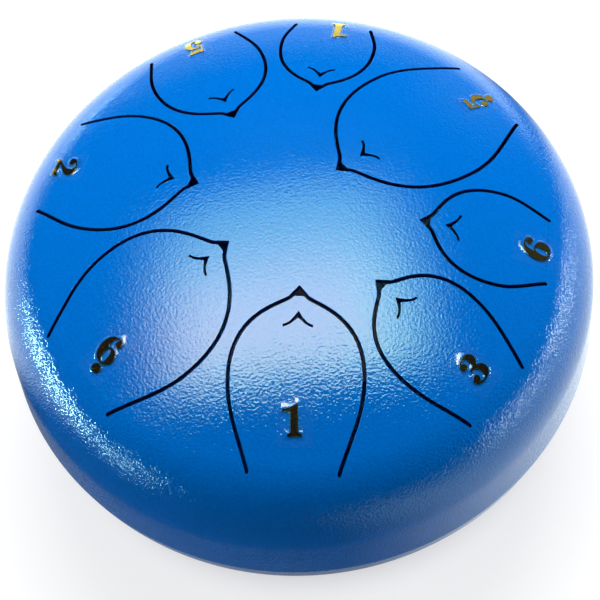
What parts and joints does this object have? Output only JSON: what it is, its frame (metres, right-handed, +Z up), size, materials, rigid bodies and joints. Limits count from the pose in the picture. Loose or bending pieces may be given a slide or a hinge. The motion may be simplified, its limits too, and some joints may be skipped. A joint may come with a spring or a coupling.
{
  "type": "steel tongue drum",
  "caption": "Small steel tongue drum: a shallow dome with petal-shaped tongues cut into it, a note sticker on each tongue, a sound hole underneath and rubber feet.",
  "frame": {"origin": "on the ground under the centre of the drum, at the level of the feet's lower faces", "axes": "+Z up through the middle of the dome, -Y towards the player, on whose side the plain 1 lies, +X to the right"},
  "size_m": [0.155, 0.155, 0.078],
  "materials": {
    "powder_coat": "glossy blue powder coat with an orange-peel surface, on pressed steel",
    "clear_film": "clear self-adhesive film",
    "rubber": "matt black moulded rubber",
    "gold_print": "mirror gold raised numerals"
  },
  "bodies": {
    "shell": {"top_shell": "powder_coat", "bottom_shell": "powder_coat", "weld_seam": "powder_coat", "foot_right": "rubber", "foot_left": "rubber", "foot_front": "rubber"},
    "note_6": {"tongue_6": "powder_coat", "sticker_6": "clear_film"},
    "note_low_5": {"tongue_low_5": "powder_coat", "sticker_low_5": "clear_film"},
    "note_high_1": {"tongue_high_1": "powder_coat", "sticker_high_1": "clear_film"},
    "note_5": {"tongue_5": "powder_coat", "sticker_5": "clear_film"},
    "note_2": {"tongue_2": "powder_coat", "sticker_2": "clear_film"},
    "note_low_6": {"tongue_low_6": "powder_coat", "sticker_low_6": "clear_film"},
    "note_1": {"tongue_1": "powder_coat", "sticker_1": "clear_film"},
    "note_3": {"tongue_3": "powder_coat", "sticker_3": "clear_film"}
  },
  "joints": [
    {"name": "tongue_6_flex", "type": "hinge", "parent": "shell", "child": "note_6", "pos_m": [0.06049, -0.01497, 0.06456], "axis": [0.2402, 0.9707, 0], "range_deg": [-0.6, 0.6], "stiffness_Nm_per_rad": 0.42, "springref_deg": 0.12},
    {"name": "tongue_low_5_flex", "type": "hinge", "parent": "shell", "child": "note_low_5", "pos_m": [0.0542, 0.03287, 0.06393], "axis": [-0.5165, 0.8563, 0], "range_deg": [-0.6, 0.6], "stiffness_Nm_per_rad": 2.7, "springref_deg": 0.07},
    {"name": "tongue_high_1_flex", "type": "hinge", "parent": "shell", "child": "note_high_1", "pos_m": [0.01738, 0.0608, 0.06406], "axis": [-0.9664, 0.2571, 0], "range_deg": [-0.6, 0.6], "stiffness_Nm_per_rad": 0.29, "springref_deg": 0.13},
    {"name": "tongue_5_flex", "type": "hinge", "parent": "shell", "child": "note_5", "pos_m": [-0.02045, 0.05971, 0.06405], "axis": [-0.9588, -0.284, 0], "range_deg": [-0.6, 0.6], "stiffness_Nm_per_rad": 0.62, "springref_deg": 0.11},
    {"name": "tongue_2_flex", "type": "hinge", "parent": "shell", "child": "note_2", "pos_m": [-0.05716, 0.02671, 0.064], "axis": [-0.4399, -0.898, 0], "range_deg": [-0.6, 0.6], "stiffness_Nm_per_rad": 1.3, "springref_deg": 0.09},
    {"name": "tongue_low_6_flex", "type": "hinge", "parent": "shell", "child": "note_low_6", "pos_m": [-0.05424, -0.03233, 0.06401], "axis": [0.521, -0.8536, 0], "range_deg": [-0.6, 0.6], "stiffness_Nm_per_rad": 2.2, "springref_deg": 0.08},
    {"name": "tongue_1_flex", "type": "hinge", "parent": "shell", "child": "note_1", "pos_m": [-0.00626, -0.06304, 0.06398], "axis": [0.9877, -0.1564, 0], "range_deg": [-0.6, 0.6], "stiffness_Nm_per_rad": 1.4, "springref_deg": 0.08},
    {"name": "tongue_3_flex", "type": "hinge", "parent": "shell", "child": "note_3", "pos_m": [0.04217, -0.04983, 0.06283], "axis": [0.7478, 0.6639, 0], "range_deg": [-0.6, 0.6], "stiffness_Nm_per_rad": 0.82, "springref_deg": 0.1}
  ]
}
